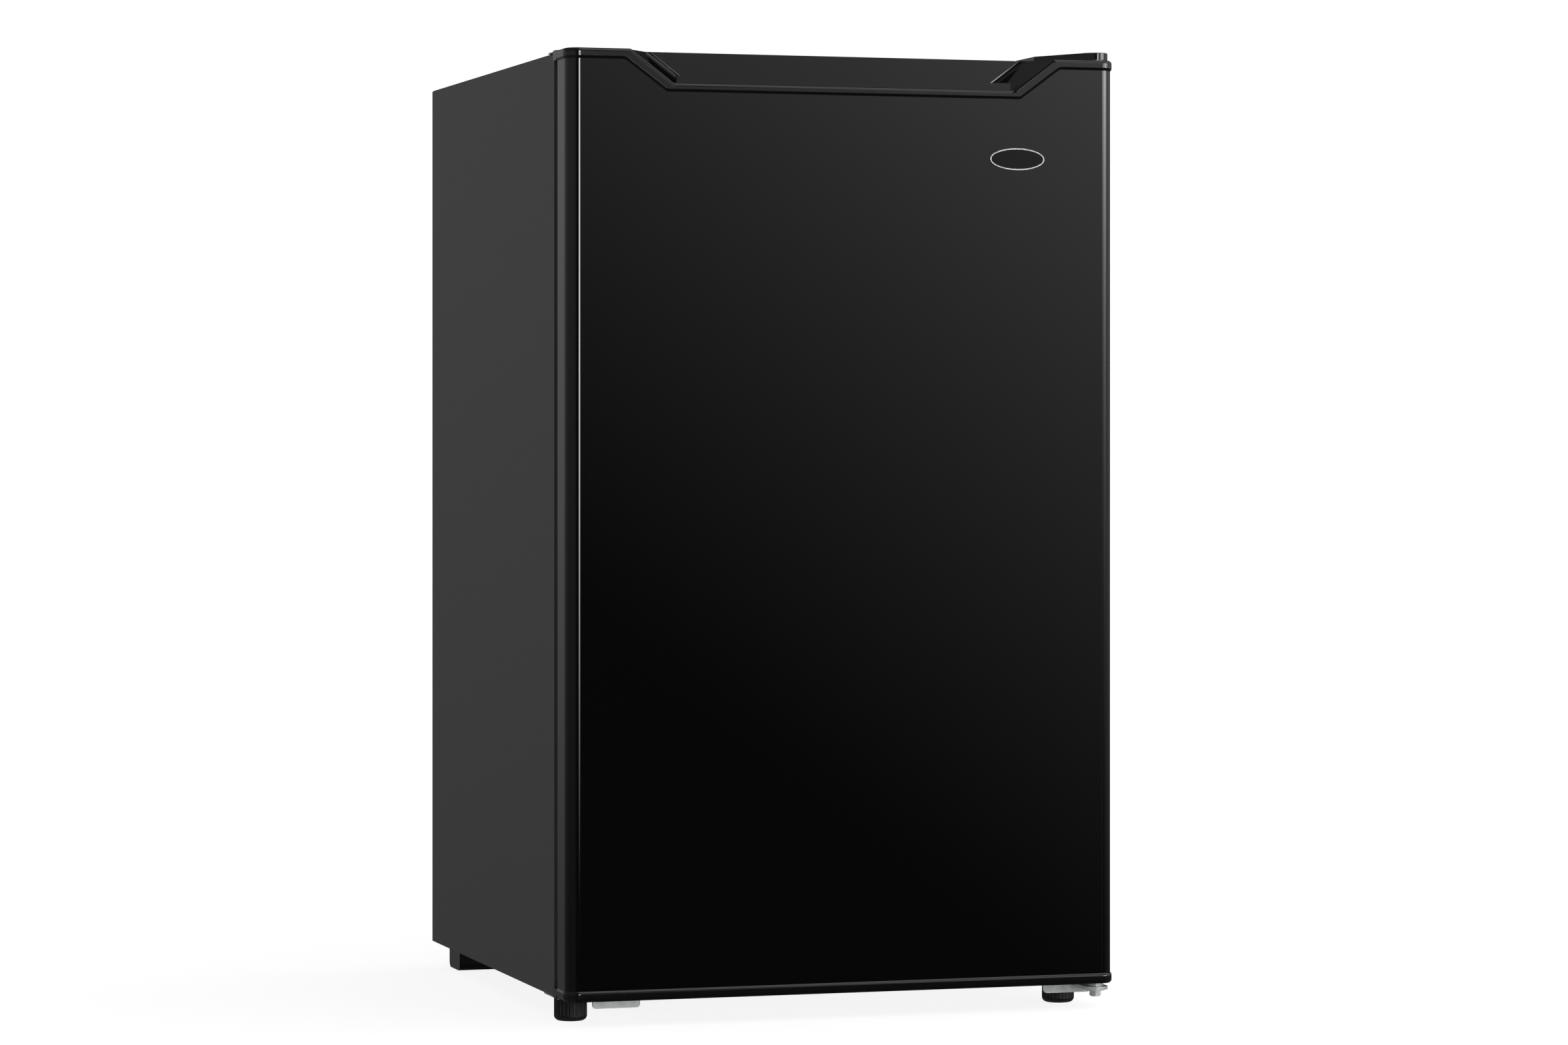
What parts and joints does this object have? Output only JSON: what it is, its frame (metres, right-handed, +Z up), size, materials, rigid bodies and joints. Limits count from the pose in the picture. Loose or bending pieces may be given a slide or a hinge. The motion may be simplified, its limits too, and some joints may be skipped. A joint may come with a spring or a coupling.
{
  "type": "compact refrigerator",
  "caption": "Black undercounter mini fridge with a right-hinged steel door, a finger pocket along its top edge, wire shelves and a small freezer box.",
  "frame": {"origin": "on the floor, under the middle of the whole machine", "axes": "+Z up, +Y towards the back, +X towards the hinged side, so the door faces -Y"},
  "size_m": [0.4966, 0.5275, 0.838],
  "materials": {
    "black_door_steel": "gloss",
    "black_cabinet_steel": "satin, fine orange peel",
    "black_plastic": "satin moulded",
    "galvanised_steel": "spangled zinc",
    "zinc_plate": "bright zinc",
    "white_liner": "vacuum-formed gloss",
    "white_plastic": "moulded",
    "clear_plastic": "translucent moulded",
    "foam": "expanded foam",
    "white_wire": "white coated wire",
    "evaporator_aluminium": "satin",
    "black_rubber": "matt",
    "seal_rubber": "matt extruded",
    "compressor_black": "satin black enamel",
    "condenser_black": "black enamel",
    "copper": "dull copper",
    "badge_silver": "bright",
    "badge_face": "dark gloss"
  },
  "bodies": {
    "cabinet": {"outer_cabinet": "black_cabinet_steel", "cabinet_top_trim": "black_plastic", "rear_panel": "galvanised_steel", "base_pan": "galvanised_steel", "inner_liner": "white_liner", "foam_insulation": "foam", "shelf_upper": "white_wire", "shelf_lower": "white_wire", "evaporator_box": "evaporator_aluminium", "evaporator_hangers": "white_plastic", "freezer_frame": "white_plastic", "drip_tray_rails": "white_plastic", "thermostat_housing": "white_plastic", "thermostat_bulb": "copper", "compressor": "compressor_black", "compressor_rail": "galvanised_steel", "compressor_grommets": "black_rubber", "compressor_bolts": "zinc_plate", "relay_cover": "black_plastic", "condenser_tube": "condenser_black", "condenser_wires": "condenser_black", "condenser_clips": "black_plastic", "filter_drier": "copper", "discharge_tube": "copper", "suction_tube": "copper", "capillary_tube": "copper", "cord_gland": "black_plastic", "rear_feet": "black_plastic", "top_hinge_bracket": "zinc_plate", "top_hinge_pin": "zinc_plate", "top_hinge_screws": "zinc_plate", "top_hinge_cover": "black_plastic", "hinge_washers": "zinc_plate", "bottom_hinge_bracket": "zinc_plate", "bottom_hinge_pin": "zinc_plate", "bottom_hinge_nut": "zinc_plate", "left_foot_bracket": "zinc_plate", "bracket_screws": "zinc_plate", "hole_plugs": "black_plastic"},
    "door": {"door_skin": "black_door_steel", "door_top_cap": "black_plastic", "door_bottom_cap": "black_plastic", "door_foam": "foam", "door_liner": "white_liner", "door_gasket": "seal_rubber", "door_rack_upper": "white_plastic", "door_rack_middle": "white_plastic", "door_rack_lower": "white_plastic", "hinge_bushes": "white_plastic", "badge_plate": "badge_face", "badge_ring": "badge_silver"},
    "freezer_door": {"freezer_flap": "clear_plastic"},
    "tray": {"drip_tray": "clear_plastic"},
    "knob": {"thermostat_knob": "white_plastic"},
    "left_stud": {"foot_stud_left": "zinc_plate"},
    "left_foot": {"foot_pad_left": "black_rubber"},
    "right_stud": {"foot_stud_right": "zinc_plate"},
    "right_foot": {"foot_pad_right": "black_rubber"}
  },
  "joints": [
    {"name": "door_hinge", "type": "hinge", "parent": "cabinet", "child": "door", "pos_m": [0.236, -0.2454, 0.42], "axis": [0, 0, 1], "range_deg": [0, 130]},
    {"name": "freezer_door_hinge", "type": "hinge", "parent": "cabinet", "child": "freezer_door", "pos_m": [0.017, -0.1284, 0.709], "axis": [0, 0, 1], "range_deg": [0, 92]},
    {"name": "drip_tray_slide", "type": "slide", "parent": "cabinet", "child": "tray", "axis": [0, -1, 0], "range_m": [0, 0.19]},
    {"name": "thermostat_dial", "type": "hinge", "parent": "cabinet", "child": "knob", "pos_m": [0.128, -0.1204, 0.758], "axis": [0, -1, 0], "range_deg": [-270, 0]},
    {"name": "left_foot_height", "type": "slide", "parent": "cabinet", "child": "left_stud", "axis": [0, 0, -1], "range_m": [0, 0.012]},
    {"name": "left_foot_turn", "type": "hinge", "parent": "left_stud", "child": "left_foot", "pos_m": [-0.2283, -0.2004, 0.01], "axis": [0, 0, 1], "range_deg": [0, 3456]},
    {"name": "right_foot_height", "type": "slide", "parent": "cabinet", "child": "right_stud", "axis": [0, 0, -1], "range_m": [0, 0.012]},
    {"name": "right_foot_turn", "type": "hinge", "parent": "right_stud", "child": "right_foot", "pos_m": [0.218, -0.2004, 0.01], "axis": [0, 0, 1], "range_deg": [0, 3456]}
  ],
  "couplings": [
    {"joint": "freezer_door_hinge", "follows": "door_hinge", "ratio": 0.7},
    {"joint": "drip_tray_slide", "follows": "door_hinge", "m_per_rad": 0.08},
    {"joint": "left_foot_turn", "follows": "left_foot_height", "rad_per_m": 5026.5},
    {"joint": "right_foot_turn", "follows": "right_foot_height", "rad_per_m": 5026.5}
  ]
}
